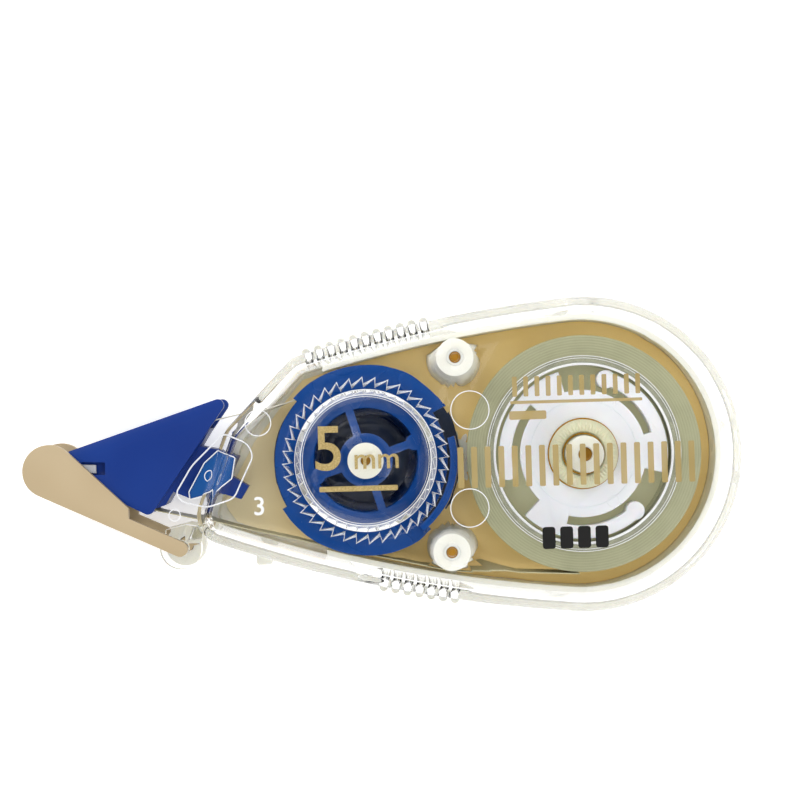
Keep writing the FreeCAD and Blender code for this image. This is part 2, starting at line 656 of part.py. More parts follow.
def build_clutch_disc():
    """Pearl disc pressed on the gear's hub, with three springy arms that grip the core from inside."""
    body = new_body("clutch_disc", SUPPLY_X)
    plate_z = f"({TAPE_TOP} - <clutch_plate> - <side_gap>)"
    arm_z = f"({TAPE_TOP} - <arm_depth> - <side_gap>)"
    disc(body, "plate", plate_z, "<clutch_plate>", "<clutch_radius>", "<clutch_hub>")
    start, root_end, end = "-15", "15.5", "71"
    tip_x, tip_y = polar_point("<arm_tip_centre>", end)
    root_shape = sector("(<clutch_radius> - 0.2)", "(<arm_inner> + 0.2)", start, root_end)
    root = slab(body, "arm_root", arm_z, "<arm_depth>", *root_shape)
    polar_copies(body, root, "3")
    band = slab(body, "arm_band", arm_z, "<arm_depth>", *sector("<arm_inner>", "<arm_outer>", start, end))
    polar_copies(body, band, "3")
    tip = disc(body, "arm_tip", arm_z, "<arm_depth>", "<arm_tip_radius>", x=tip_x, y=tip_y)
    polar_copies(body, tip, "3")
    doc.recompute()
    return body


def build_reel_core():
    body = new_body("reel_core", SUPPLY_X)
    bore = "(<core_radius> - <core_wall>)"
    disc(body, "ring", TAPE_Z, "<tape_width>", "<core_radius>", bore)
    disc(body, "rim", TAPE_TOP, "0.15", "<core_rim_radius>", bore)
    return body


def build_ring(label, x, outer, inner):
    """A plain coil of tape, modelled as a solid ring of the tape's width."""
    body = new_body(label, x)
    disc(body, "coil", TAPE_Z, "<tape_width>", outer, inner)
    return body


# ---------------------------------------------------------------- head and blade, drawn about the cap's hinge

CORE_CORNERS = [("-10.8", "9.75"), ("3.4", "12.65"), ("-1.6", "4.6"), ("-2.7", "4.25"),
                ("-10.8", "7.65")]
NECK_CORNERS = [("-0.6", "8.2"), ("1.6", "10.9"), ("4.4", "10.3"), ("6.0", "9.64"), ("3.9", "5.84"),
                ("1.2", "5.14"), ("-1.2", "6.2")]
HOOK_CORNERS = [("4.4", "8.0"), ("7.4", "6.4"), ("6.5", "5.0"), ("3.4", "5.9")]
GUARD_CORNERS = [("6.0", "16.3"), ("-13.9", "9.9"), ("-13.9", "9.1"), ("-3.2", "3.5")]
WINDOW_CORNERS = [("-10.35", "9.5"), ("-7.8", "9.35"), ("-7.8", "8.05"), ("-10.35", "8.05")]
BLADE_CORNERS = [("-8.9", "9.1"), ("-14.75", "9.42"), ("-14.75", "9.06"), ("-8.9", "8.2")]


def build_head_body():
    """Core, neck, stem, hook and both guard plates."""
    body = new_body("head_body", HINGE_X, HINGE_Y)
    core_length = f"({FRONT_FLANGE_Z} - {REAR_FLANGE_TOP})"
    slab(body, "core", REAR_FLANGE_TOP, core_length, CORE_CORNERS)
    slab(body, "rear_guard", GUARD_REAR_Z, "<guard_thickness>", GUARD_CORNERS)
    slab(body, "front_guard", FRONT_FLANGE_Z, "<guard_thickness>", GUARD_CORNERS)
    round_edges(body, "guard_corners", "<guard_round>", upright_near([GUARD_CORNERS[0], GUARD_CORNERS[3]]))
    slab(body, "neck", f"({REAR_FLANGE_TOP} + 0.2)", f"({core_length} - 0.4)", NECK_CORNERS)
    slab(body, "hook", f"({REAR_FLANGE_TOP} + 1.2)", f"({core_length} - 2.4)", HOOK_CORNERS)
    bore_hole(body, "pin_hole", REAR_FLANGE_TOP, core_length, "(<head_pin_radius> + 0.04)", *HEAD_PIN)
    window = new_sketch(body, "window", f"({FRONT_FLANGE_Z} - 0.6)")
    draw_outline(window, WINDOW_CORNERS)
    pocket(body, window, "(<guard_thickness> + 0.7)")
    slot = new_sketch(body, "blade_slot", TAPE_Z)
    draw_outline(slot, BLADE_CORNERS)
    pocket(body, slot, "<tape_width>")
    return body


def build_nib_blade():
    body = new_body("nib_blade", HINGE_X, HINGE_Y)
    slab(body, "blade", TAPE_Z, "<tape_width>", BLADE_CORNERS)
    round_edges(body, "blade_edge", "<blade_tip_radius>", upright_near(BLADE_CORNERS[1:3]))
    return body


# ---------------------------------------------------------------- tape runs between the reels

def tangent_normal(centre, radius, next_centre, next_radius):
    """Unit normal of the line that touches two circles, each on its left as the tape runs."""
    span = next_centre - centre
    swing = math.acos((radius - next_radius) / span.Length)
    angle = math.atan2(span.y, span.x) + swing
    return FreeCAD.Vector(math.cos(angle), math.sin(angle), 0)


def run_edges(stations):
    """Straight runs between circles (centre, radius), joined by arcs where the tape turns on one."""
    edges, last, entry = [], None, None
    for (centre, radius), (next_centre, next_radius) in zip(stations, stations[1:]):
        normal = tangent_normal(centre, radius, next_centre, next_radius)
        start, end = centre + normal * radius, next_centre + normal * next_radius
        if last is not None:
            middle = centre + (entry + normal).normalize() * radius
            edges.append(Part.Arc(last, middle, start).toShape())
        edges.append(Part.LineSegment(start, end).toShape())
        last, entry = end, normal
    return edges, last, entry


def tape_band(label, edges):
    """A strip of tape standing on the given path, half a film's thickness to each side of it."""
    film = number("<tape_film>")
    path = Part.Wire(edges)
    surface = path.extrude(FreeCAD.Vector(0, 0, number("<tape_width>")))
    surface.translate(FreeCAD.Vector(0, 0, number(TAPE_Z)))
    solid = surface.makeOffsetShape(film, 1e-4, fill=True)
    expected = path.Length * number("<tape_width>") * film
    if abs(solid.Volume - expected) > 0.05 * expected:
        raise ValueError(f"{label} has the wrong volume")
    feature = doc.addObject("Part::Feature", label)
    feature.Label = label
    feature.Shape = solid
    feature.Placement = FreeCAD.Placement(FreeCAD.Vector(number(TAKE_UP_X), 0, 0), FreeCAD.Rotation())
    return feature


def build_tape_runs():
    """Coated tape out along the belly to the blade's edge, bare liner back to the take-up reel."""
    def station(x, y, radius):
        return FreeCAD.Vector(number(x), number(y), 0), number(radius)

    clear = "(<tape_film> * 1.5)"
    roll = station(REEL_SPACING, "0", f"(<roll_radius> + {clear})")
    post = station(*LOWER_POST, f"(<screw_post_radius> + {clear})")
    chin = station("(-2.2 - <nose_reach>)", "(4.75 - <hinge_drop>)", "0.75")
    edge = station("(-14.6 - <nose_reach>)", "(9.24 - <hinge_drop>)", f"(0.2 + {clear})")
    drum = station("0", "0", f"(<drum_radius> + <winding_build> + {clear})")
    outward, outward_end, normal = run_edges([roll, post, chin, edge])
    back, _, _ = run_edges([edge, drum])
    # half of the turn over the blade's edge belongs to each run
    centre, radius = edge
    forward = FreeCAD.Vector(-1, 0, 0)
    nose = centre + forward * radius
    outward_middle = centre + (normal + forward).normalize() * radius
    turn_to_nose = Part.Arc(outward_end, outward_middle, nose)
    back_start = back[0].Vertexes[0].Point
    back_normal = (back_start - centre).normalize()
    back_middle = centre + (back_normal + forward).normalize() * radius
    turn_to_back = Part.Arc(nose, back_middle, back_start)
    tape_band("fresh_tape_run", outward + [turn_to_nose.toShape()])
    tape_band("used_liner_run", [turn_to_back.toShape()] + back)


# ---------------------------------------------------------------- cap, drawn about its hinge

def build_cap():
    """Flip cap: a plate each side of the head, joined by a wall along the tip and the lower edge."""
    body = new_body("cap", HINGE_X, HINGE_Y)
    reach, rise, end, arm = "<cap_reach>", "<cap_rise>", "<cap_end_radius>", "<arm_end_radius>"
    length = f"sqrt({reach}^2 + {rise}^2)"
    lean = f"(atan({rise} / {reach}) / 1deg - asin(({end} - {arm}) / {length}) / 1deg)"
    low_normal = polar_point("1", f"(270 - {lean})")
    top_normal = polar_point("1", "46")
    wall_normal = polar_point("1", "125")

    def on_end(radius, normal):
        return (f"({radius} * {normal[0]} - {reach})", f"({radius} * {normal[1]} + {rise})")

    arm_top = (f"(-{arm} * {low_normal[0]})", f"(-{arm} * {low_normal[1]})")
    shoulder_x = "(-5.3)"
    shoulder_y = f"({arm_top[1]} + ({arm_top[0]} - {shoulder_x}) * tan({lean} * 1deg))"
    plate = [on_end(end, top_normal), on_end(end, ("-1", "0")), on_end(end, low_normal),
             (f"({arm} * {low_normal[0]})", f"({arm} * {low_normal[1]})"), (arm, "0"), arm_top,
             (shoulder_x, shoulder_y), (shoulder_x, f"({shoulder_y} + 1.1)")]
    arcs = {0: (end, 1), 1: (end, 1), 3: (arm, 1), 4: (arm, 1)}
    thin = f"({end} - <cap_wall>)"
    lower_end = (shoulder_x, f"({shoulder_y} - {arm} * 2 / cos({lean} * 1deg))")
    wall = [on_end(end, wall_normal), on_end(end, ("-1", "0")), on_end(end, low_normal), lower_end,
            (lower_end[0], f"({lower_end[1]} + <cap_wall> / cos({lean} * 1deg))"),
            on_end(thin, low_normal), on_end(thin, ("-1", "0")), on_end(thin, wall_normal)]
    wall_arcs = {0: (end, 1), 1: (end, 1), 5: (thin, -1), 6: (thin, -1)}
    slab(body, "rear_plate", CAP_REAR_Z, "<cap_plate>", plate, arcs)
    slab(body, "edge_wall", CAP_REAR_Z, f"({CAP_FRONT_TOP} - {CAP_REAR_Z})", wall, wall_arcs)
    slab(body, "front_plate", CAP_FRONT_Z, "<cap_plate>", plate, arcs)
    # a pin on the inside of each plate, through the ear beside it
    pin_length = "(<ear_thickness> + <ear_play> + 0.1)"
    disc(body, "front_pin", f"({FRONT_EAR_TOP} - <ear_thickness>)", pin_length, "<hinge_pin_radius>")
    disc(body, "rear_pin", f"({CAP_REAR_TOP} - 0.1)", pin_length, "<hinge_pin_radius>")
    return body


# ---------------------------------------------------------------- build, test and write

build_back_case()
build_front_cover()
build_base_plate()
build_supply_gear()
build_idler_gear()
build_take_up_gear()
build_take_up_reel()
build_clutch_disc()
build_reel_core()
build_ring("tape_roll", SUPPLY_X, "<roll_radius>", "<core_radius>")
build_ring("used_liner_winding", TAKE_UP_X, "(<drum_radius> + <winding_build>)", "<drum_radius>")
build_head_body()
build_nib_blade()
build_tape_runs()
build_cap()
doc.recompute()

for item in doc.Objects:
    if "Invalid" in item.State or "Error" in item.State:
        raise ValueError(f"{item.Label} failed: {item.State}")

sub_parts = [item for item in doc.Objects
             if item.TypeId == "PartDesign::Body" or item.TypeId == "Part::Feature"]
for item in sub_parts:
    shape = item.Shape
    if shape.isNull() or not shape.isValid() or len(shape.Solids) != 1:
        raise ValueError(f"{item.Label} is not one sound solid")

os.makedirs("parts", exist_ok=True)
for item in sub_parts:
    item.Shape.exportStep(os.path.join("parts", f"{item.Label}.step"))
    box = item.Shape.BoundBox
    print(f"{item.Label:20s} {item.Shape.Volume:9.2f} mm3  x {box.XMin:7.2f} {box.XMax:7.2f}"
          f"  y {box.YMin:7.2f} {box.YMax:7.2f}  z {box.ZMin:6.2f} {box.ZMax:6.2f}")
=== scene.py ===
import json
import math
import bpy
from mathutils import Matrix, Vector


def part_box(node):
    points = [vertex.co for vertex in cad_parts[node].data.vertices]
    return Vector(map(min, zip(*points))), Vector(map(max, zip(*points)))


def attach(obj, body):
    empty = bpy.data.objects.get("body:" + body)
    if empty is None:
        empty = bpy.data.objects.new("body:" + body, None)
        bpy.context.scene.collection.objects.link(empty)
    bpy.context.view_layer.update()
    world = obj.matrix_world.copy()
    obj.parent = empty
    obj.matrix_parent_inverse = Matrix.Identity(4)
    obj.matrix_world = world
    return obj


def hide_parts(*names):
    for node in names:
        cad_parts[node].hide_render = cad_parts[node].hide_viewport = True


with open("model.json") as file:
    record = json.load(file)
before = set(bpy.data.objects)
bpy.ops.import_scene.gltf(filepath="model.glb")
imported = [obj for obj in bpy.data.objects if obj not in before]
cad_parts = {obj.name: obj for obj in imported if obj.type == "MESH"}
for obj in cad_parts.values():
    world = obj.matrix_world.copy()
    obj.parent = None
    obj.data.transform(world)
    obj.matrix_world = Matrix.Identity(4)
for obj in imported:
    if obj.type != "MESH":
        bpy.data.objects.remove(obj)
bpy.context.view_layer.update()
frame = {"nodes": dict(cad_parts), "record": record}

# ---------------------------------------------------------------- floor, light and camera
# The dispenser lies on its back on a plain white sheet under broad, soft light.
# The camera looks straight down on the clear front, turned a little so that the tip sits lower.

MM = 0.001
SUPPLY_X = (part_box("tape_roll")[0].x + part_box("tape_roll")[1].x) / 2
TAKE_UP_X = (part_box("used_liner_winding")[0].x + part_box("used_liner_winding")[1].x) / 2
CASE_LOW, CASE_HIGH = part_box("front_cover")
FRONT_Z = CASE_HIGH.z


def linear(code):
    """An sRGB hex colour as linear RGBA."""
    values = [int(code[place:place + 2], 16) / 255 for place in (0, 2, 4)]
    return [value / 12.92 if value <= 0.04045 else ((value + 0.055) / 1.055) ** 2.4
            for value in values] + [1.0]


def add_node(tree, kind, inputs=None, links=None, **settings):
    """Add a node with its settings, socket values and incoming links."""
    node = tree.nodes.new(kind)
    for name, value in settings.items():
        setattr(node, name, value)
    for name, value in (inputs or {}).items():
        node.inputs[name].default_value = value
    for name, source in (links or {}).items():
        tree.links.new(source, node.inputs[name])
    return node


def new_material(name, **surface):
    """A material with one Principled shader set from the keyword values."""
    material = bpy.data.materials.new(name)
    material.use_nodes = True
    shader = material.node_tree.nodes["Principled BSDF"]
    for socket, value in surface.items():
        shader.inputs[socket.replace("_", " ")].default_value = value
    return material, material.node_tree, shader


def put_on(piece, material):
    piece.data.materials.clear()
    piece.data.materials.append(material)


def deselect():
    if bpy.context.object and bpy.context.object.mode != "OBJECT":
        bpy.ops.object.mode_set(mode="OBJECT")
    bpy.ops.object.select_all(action="DESELECT")


deselect()
FLOOR_SIZE = 3.0
bpy.ops.mesh.primitive_plane_add(size=FLOOR_SIZE, location=(0, 0, 0))
floor = bpy.context.object
floor.name = "paper_floor"
paper, tree, shader = new_material("matt_white_paper", Roughness=0.9)
grain = add_node(tree, "ShaderNodeTexNoise", {"Scale": 60.0, "Detail": 3.0},
                 {"Vector": add_node(tree, "ShaderNodeTexCoord").outputs["Object"]})
shade = add_node(tree, "ShaderNodeMix", {"A": linear("FBFBFA"), "B": linear("FFFFFF")},
                 {"Factor": grain.outputs["Fac"]}, data_type="RGBA")
tree.links.new(shade.outputs["Result"], shader.inputs["Base Color"])
# lit a little from below, as on a light table
shader.inputs["Emission Color"].default_value = (1, 1, 1, 1)
shader.inputs["Emission Strength"].default_value = 0.35
put_on(floor, paper)

world = bpy.data.worlds.new("white_room")
bpy.context.scene.world = world
world.use_nodes = True
sky = world.node_tree
# the room is dark straight overhead, so that the flat window has nothing bright to mirror
direction = add_node(sky, "ShaderNodeSeparateXYZ",
                     links={"Vector": add_node(sky, "ShaderNodeTexCoord").outputs["Generated"]})
level = add_node(sky, "ShaderNodeMapRange",
                 {"From Min": 0.80, "From Max": 0.97, "To Min": 0.55, "To Max": 0.02},
                 {"Value": direction.outputs["Z"]}, interpolation_type="SMOOTHSTEP")
sky.links.new(level.outputs["Result"], sky.nodes["Background"].inputs["Strength"])
sky.nodes["Background"].inputs["Color"].default_value = (1, 1, 1, 1)
bpy.context.scene.view_settings.view_transform = "Standard"

for name, place, size, power in (("key_panel", (-0.22, 0.34, 0.30), 0.30, 0.75),
                                 ("fill_panel", (0.34, -0.20, 0.30), 0.30, 0.52),
                                 ("overhead_panel", (0.0, 0.0, 0.55), 0.40, 1.30)):
    lamp = bpy.data.lights.new(name, "AREA")
    lamp.size = size
    lamp.energy = power
    holder = bpy.data.objects.new(name, lamp)
    bpy.context.scene.collection.objects.link(holder)
    holder.location = place
    holder.rotation_euler = (-Vector(place)).to_track_quat("-Z", "Y").to_euler()
# the last panel, overhead, lights the object but is not seen mirrored in the window or through it
holder.visible_glossy = False
holder.visible_transmission = False

CAMERA_HEIGHT = 0.230
VIEW_WIDTH = 0.0836
SENSOR = 36.0
camera_data = bpy.data.cameras.new("copy_stand_camera")
camera_data.sensor_width = SENSOR
camera_data.lens = SENSOR * CAMERA_HEIGHT / VIEW_WIDTH
camera_data.clip_start = 0.01
camera = bpy.data.objects.new("copy_stand_camera", camera_data)
bpy.context.scene.collection.objects.link(camera)
camera.location = (SUPPLY_X - 19.3 * MM, 6.27 * MM, FRONT_Z + CAMERA_HEIGHT)
camera.rotation_euler = (0, 0, math.radians(-1.684))
bpy.context.scene.camera = camera

# ---------------------------------------------------------------- back case
# The rear shell with its posts and lip, moulded in a milky ivory plastic that lets some light through.
# Its floor carries the gold plate, and its posts carry the reels.


def finished_copy(node, edge_mm, piece_name=None):
    """A copy of a CAD node with its facets merged and every sharp edge broken by edge_mm."""
    mesh = frame["nodes"][node].data.copy()
    piece = bpy.data.objects.new(piece_name or f"{node}_moulding", mesh)
    bpy.context.scene.collection.objects.link(piece)
    deselect()
    piece.select_set(True)
    bpy.context.view_layer.objects.active = piece
    bpy.ops.object.mode_set(mode="EDIT")
    bpy.ops.mesh.select_all(action="SELECT")
    bpy.ops.mesh.remove_doubles(threshold=0.002 * MM)
    if edge_mm:
        bpy.ops.mesh.dissolve_limited(angle_limit=math.radians(0.5))
    bpy.ops.object.mode_set(mode="OBJECT")
    if edge_mm:
        bevel = piece.modifiers.new("broken_edges", "BEVEL")
        bevel.width = edge_mm * MM
        bevel.segments = 2
        bevel.limit_method = "ANGLE"
        bevel.angle_limit = math.radians(40)
        bevel.harden_normals = False
        bpy.ops.object.modifier_apply(modifier=bevel.name)
    bpy.ops.object.shade_smooth_by_angle(angle=math.radians(35))
    body = next(name for name, nodes in frame["record"]["behaviour"]["bodies"].items() if node in nodes)
    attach(piece, body)
    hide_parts(node)
    return piece


def add_moulded_skin(tree, shader, grain_mm, depth_mm, rough_low, rough_high):
    """The faint texture a steel mould leaves: bump at grain_mm and a slow drift of gloss."""
    place = add_node(tree, "ShaderNodeTexCoord").outputs["Object"]
    fine = add_node(tree, "ShaderNodeTexNoise", {"Scale": 1 / (grain_mm * MM), "Detail": 2.0},
                    {"Vector": place})
    broad = add_node(tree, "ShaderNodeTexNoise", {"Scale": 1 / (6 * MM), "Detail": 1.0}, {"Vector": place})
    bump = add_node(tree, "ShaderNodeBump", {"Strength": 0.3, "Distance": depth_mm * MM},
                    {"Height": fine.outputs["Fac"]})
    gloss = add_node(tree, "ShaderNodeMapRange", {"To Min": rough_low, "To Max": rough_high},
                     {"Value": broad.outputs["Fac"]})
    tree.links.new(bump.outputs["Normal"], shader.inputs["Normal"])
    tree.links.new(gloss.outputs["Result"], shader.inputs["Roughness"])
    return broad


def add_two_tones(tree, shader, factor, low, high):
    """Base colour that drifts between two near tones."""
    tones = add_node(tree, "ShaderNodeMix", {"A": linear(low), "B": linear(high)},
                     {"Factor": factor}, data_type="RGBA")
    tree.links.new(tones.outputs["Result"], shader.inputs["Base Color"])


back_case = finished_copy("back_case", 0.08)
# the rear shell's rim stops just short of the front shell, so that the seam shows
SEAM_Z = CASE_LOW.z
for vertex in back_case.data.vertices:
    if abs(vertex.co.z - SEAM_Z) < 0.1 * MM and math.hypot(vertex.co.x - TAKE_UP_X, vertex.co.y) > 4 * MM:
        vertex.co.z = min(vertex.co.z, SEAM_Z) - 0.05 * MM
# Milky polystyrene: light sinks in a little, so its walls glow and its edges stay soft.
ivory, tree, shader = new_material("ivory_polystyrene", IOR=1.52, Subsurface_Weight=0.35,
                                   Subsurface_Radius=(0.9, 0.8, 0.6), Subsurface_Scale=0.001)
add_two_tones(tree, shader, add_moulded_skin(tree, shader, 0.25, 0.004, 0.22, 0.34).outputs["Fac"],
              "ECEBDF", "F5F4EA")
put_on(back_case, ivory)


def flatten_place(piece):
    """Put the piece's place into its mesh, so that its object sits at the origin."""
    deselect()
    piece.select_set(True)
    bpy.context.view_layer.objects.active = piece
    bpy.ops.object.transform_apply(location=True, rotation=True, scale=True)


def finish_piece(piece, body, material):
    """Apply the piece's place and say what it rides on and is made of."""
    flatten_place(piece)
    bpy.ops.object.shade_smooth_by_angle(angle=math.radians(40))
    put_on(piece, material)
    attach(piece, body)


# Amber pins stand inside the hollow posts and show as warm dots at their mouths: painted shade, the warm
# dark seen down the hollow posts.
# Glossy amber with a slight drift in tone.
amber, tree, shader = new_material("amber_tone", IOR=1.55, Coat_Weight=0.3)
add_two_tones(tree, shader, add_moulded_skin(tree, shader, 0.3, 0.003, 0.2, 0.3).outputs["Fac"],
              "A06C12", "B98A2E")

POST_MOUTH_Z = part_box("back_case")[1].z
PIN_FOOT_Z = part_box("tape_roll")[0].z + 0.2 * MM
UPPER_POST = (SUPPLY_X - 13.42 * MM, 10.59 * MM)
LOWER_POST = (SUPPLY_X - 14.30 * MM, -9.88 * MM)
for name, (x, y), radius, drop in (("supply", (SUPPLY_X, 0), 0.74, 0.8),
                                   ("take_up", (TAKE_UP_X, 0), 0.53, 0.8),
                                   ("upper", UPPER_POST, 0.58, 0.16),
                                   ("lower", LOWER_POST, 0.58, 0.16)):
    top = POST_MOUTH_Z - drop * MM
    deselect()
    bpy.ops.mesh.primitive_cylinder_add(vertices=32, radius=radius * MM, depth=top - PIN_FOOT_Z,
                                        location=(x, y, (top + PIN_FOOT_Z) / 2))
    pin = bpy.context.object
    pin.name = f"{name}_post_hole_shade"
    # a shallow dish in the pin's end
    bpy.ops.object.mode_set(mode="EDIT")
    bpy.ops.mesh.select_all(action="DESELECT")
    bpy.ops.object.mode_set(mode="OBJECT")
    for face in pin.data.polygons:
        face.select = face.normal.z > 0.9
    bpy.ops.object.mode_set(mode="EDIT")
    bpy.ops.mesh.inset(thickness=radius * 0.35 * MM)
    bpy.ops.transform.translate(value=(0, 0, -0.12 * MM))
    bpy.ops.object.mode_set(mode="OBJECT")
    finish_piece(pin, "case", amber)

# A small snap tab stands out of the rear shell's lower side.
deselect()
bpy.ops.mesh.primitive_cube_add(size=1, location=(TAKE_UP_X - 11.45 * MM, -10.1 * MM, 3.3 * MM),
                                scale=(1.7 * MM, 2.3 * MM, 2.4 * MM))
tab = bpy.context.object
tab.name = "snap_tab"
rounding = tab.modifiers.new("moulded_edges", "BEVEL")
rounding.width = 0.3 * MM
rounding.segments = 3
bpy.ops.object.modifier_apply(modifier=rounding.name)
finish_piece(tab, "case", ivory)

# ---------------------------------------------------------------- base plate
# A thin champagne-gold plate with a pearl finish lies on the rear shell's floor behind both reels.
# Its colour is painted paler towards the nose, as painted light for the light coming in through the open
# front.

base_plate = finished_copy("base_plate", 0.06)
# Pearl-filled ABS: satin, warm and slightly metallic, with a fine even sparkle.
gold, tree, shader = new_material("champagne_pearl_abs", IOR=1.5, Metallic=0.05)
drift = add_moulded_skin(tree, shader, 0.15, 0.003, 0.30, 0.42)
place = add_node(tree, "ShaderNodeTexCoord").outputs["Object"]
along = add_node(tree, "ShaderNodeSeparateXYZ", links={"Vector": place})
# painted light: the colour pales towards the nose, where light comes in through the open front
paling = add_node(tree, "ShaderNodeMapRange",
                  {"From Min": TAKE_UP_X - 16 * MM, "From Max": TAKE_UP_X - 2 * MM},
                  {"Value": along.outputs["X"]}, interpolation_type="SMOOTHSTEP")
warm = add_node(tree, "ShaderNodeMix", {"A": linear("EAC87E"), "B": linear("F4DA9A")},
                {"Factor": drift.outputs["Fac"]}, data_type="RGBA")
tones = add_node(tree, "ShaderNodeMix", {"A": linear("FAEFCB")},
                 {"Factor": paling.outputs["Result"], "B": warm.outputs["Result"]}, data_type="RGBA")
tree.links.new(tones.outputs["Result"], shader.inputs["Base Color"])
# a faint glow stands for the light that the flakes throw about inside the narrow chamber
shader.inputs["Emission Color"].default_value = linear("E6C680")
shader.inputs["Emission Strength"].default_value = 0.09
put_on(base_plate, gold)

# ---------------------------------------------------------------- gears
# Three meshing gears turn the take-up reel from the tape roll; moulded in acetal, so slightly waxy.
# The supply gear is beige and its hub shows through the clutch, the idler is natural white.

supply_gear = finished_copy("supply_gear", 0)
# Acetal: waxy and half matt, with a little light sinking in.
beige_acetal, tree, shader = new_material("beige_acetal", IOR=1.48, Subsurface_Weight=0.1,
                                          Subsurface_Scale=0.0005)
add_two_tones(tree, shader, add_moulded_skin(tree, shader, 0.2, 0.003, 0.35, 0.5).outputs["Fac"],
              "DAD8B4", "E6E4C6")
# a faint glow stands for light carried inside the moulding to its web, deep behind the clutch
height = add_node(tree, "ShaderNodeSeparateXYZ",
                  links={"Vector": add_node(tree, "ShaderNodeTexCoord").outputs["Object"]})
glow = add_node(tree, "ShaderNodeMapRange",
                {"From Min": 4.4 * MM, "From Max": 6.0 * MM, "To Min": 0.32, "To Max": 0.06},
                {"Value": height.outputs["Z"]})
shader.inputs["Emission Color"].default_value = linear("BDBC97")
tree.links.new(glow.outputs["Result"], shader.inputs["Emission Strength"])
put_on(supply_gear, beige_acetal)

idler_gear = finished_copy("idler_gear", 0)
white_acetal, tree, shader = new_material("natural_acetal", IOR=1.48, Subsurface_Weight=0.15,
                                          Subsurface_Scale=0.0005)
add_two_tones(tree, shader, add_moulded_skin(tree, shader, 0.2, 0.003, 0.35, 0.5).outputs["Fac"],
              "E6E3D8", "F1EFE6")
put_on(idler_gear, white_acetal)

take_up_gear = finished_copy("take_up_gear", 0)
# painted shade: the take-up gear is a darker navy copy of the reel's blue, for its place deep behind the
# reel's windows
painted_shade_blue, tree, shader = new_material("shade_darkened_blue_acetal", IOR=1.48)
add_two_tones(tree, shader, add_moulded_skin(tree, shader, 0.2, 0.003, 0.3, 0.45).outputs["Fac"],
              "16233A", "1E2E4B")
put_on(take_up_gear, painted_shade_blue)

# ---------------------------------------------------------------- take-up reel
# The blue reel winds up the used liner; its pawl arm clicks round the ratchet ring in the cover.
# Moulded in glossy ABS, with the four spokes and hub standing in the open middle.

take_up_reel = finished_copy("take_up_reel", 0.07)
blue, tree, shader = new_material("royal_blue_abs", IOR=1.53, Coat_Weight=0.25, Coat_Roughness=0.1)
add_two_tones(tree, shader, add_moulded_skin(tree, shader, 0.25, 0.003, 0.22, 0.32).outputs["Fac"],
              "063A7C", "0A458E")
put_on(take_up_reel, blue)

# ---------------------------------------------------------------- tape roll and used liner
# Correction tape wound turn on turn, seen from its edge: hundreds of layers make fine rings.
# The full roll is a greenish khaki from its backing; the few turns of bare liner are paler.


def wound_tape(name, axis_x, low, high, ring_mm):
    """Wound film seen edge on. Real turns are 0.05 mm apart; they are drawn at ring_mm so that they show."""
    material, tree, shader = new_material(name, IOR=1.45)
    centred = add_node(tree, "ShaderNodeMapping", {"Location": (-axis_x, 0, 0)},
                       {"Vector": add_node(tree, "ShaderNodeTexCoord").outputs["Object"]})
    rings = add_node(tree, "ShaderNodeTexWave",
                     {"Scale": 1 / (ring_mm * MM * 20 / math.tau * 2), "Distortion": 0.6, "Detail": 2.0},
                     {"Vector": centred.outputs["Vector"]}, wave_type="RINGS", rings_direction="Z")
    uneven = add_node(tree, "ShaderNodeTexNoise", {"Scale": 1 / (3 * MM), "Detail": 3.0},
                      {"Vector": centred.outputs["Vector"]})
    both = add_node(tree, "ShaderNodeMath", {1: 0.5}, {0: rings.outputs["Fac"]}, operation="MULTIPLY")
    total = add_node(tree, "ShaderNodeMath", links={0: both.outputs[0], 1: uneven.outputs["Fac"]},
                     operation="ADD")
    tones = add_node(tree, "ShaderNodeMix", {"A": linear(low), "B": linear(high)},
                     {"Factor": total.outputs[0]}, data_type="RGBA")
    bump = add_node(tree, "ShaderNodeBump", {"Strength": 0.4, "Distance": 0.02 * MM},
                    {"Height": rings.outputs["Fac"]})
    gloss = add_node(tree, "ShaderNodeMapRange", {"To Min": 0.38, "To Max": 0.55},
                     {"Value": uneven.outputs["Fac"]})
    tree.links.new(tones.outputs["Result"], shader.inputs["Base Color"])
    tree.links.new(bump.outputs["Normal"], shader.inputs["Normal"])
    tree.links.new(gloss.outputs["Result"], shader.inputs["Roughness"])
    return material


tape_roll = finished_copy("tape_roll", 0.05)
put_on(tape_roll, wound_tape("wound_correction_tape", SUPPLY_X, "929376", "ABAB89", 0.14))
winding = finished_copy("used_liner_winding", 0)
put_on(winding, wound_tape("wound_liner", TAKE_UP_X, "CFCBB8", "E3E0D2", 0.12))

for node, low, high in (("fresh_tape_run", "B9B28C", "CBC5A2"), ("used_liner_run", "D6D2C0", "E6E3D6")):
    strip = finished_copy(node, 0)
    film, tree, shader = new_material(f"{node}_film", IOR=1.45)
    add_two_tones(tree, shader, add_moulded_skin(tree, shader, 0.3, 0.002, 0.35, 0.5).outputs["Fac"],
                  low, high)
    put_on(strip, film)

# ---------------------------------------------------------------- reel core and clutch disc
# The roll is wound on a clear ring; inside it a pearl-white disc presses three springy arms outwards.
# The arms slip on the core, which lets the roll and the take-up reel turn at different speeds.

core = finished_copy("reel_core", 0.03)
# Clear styrene seen edge on: mostly see-through, with a greenish grey body.
clear_core, tree, shader = new_material("clear_polystyrene_core", IOR=1.49, Alpha=0.35, Coat_Weight=0.3)
add_two_tones(tree, shader, add_moulded_skin(tree, shader, 0.4, 0.002, 0.08, 0.16).outputs["Fac"],
              "C6C8AE", "D6D8C4")
put_on(core, clear_core)


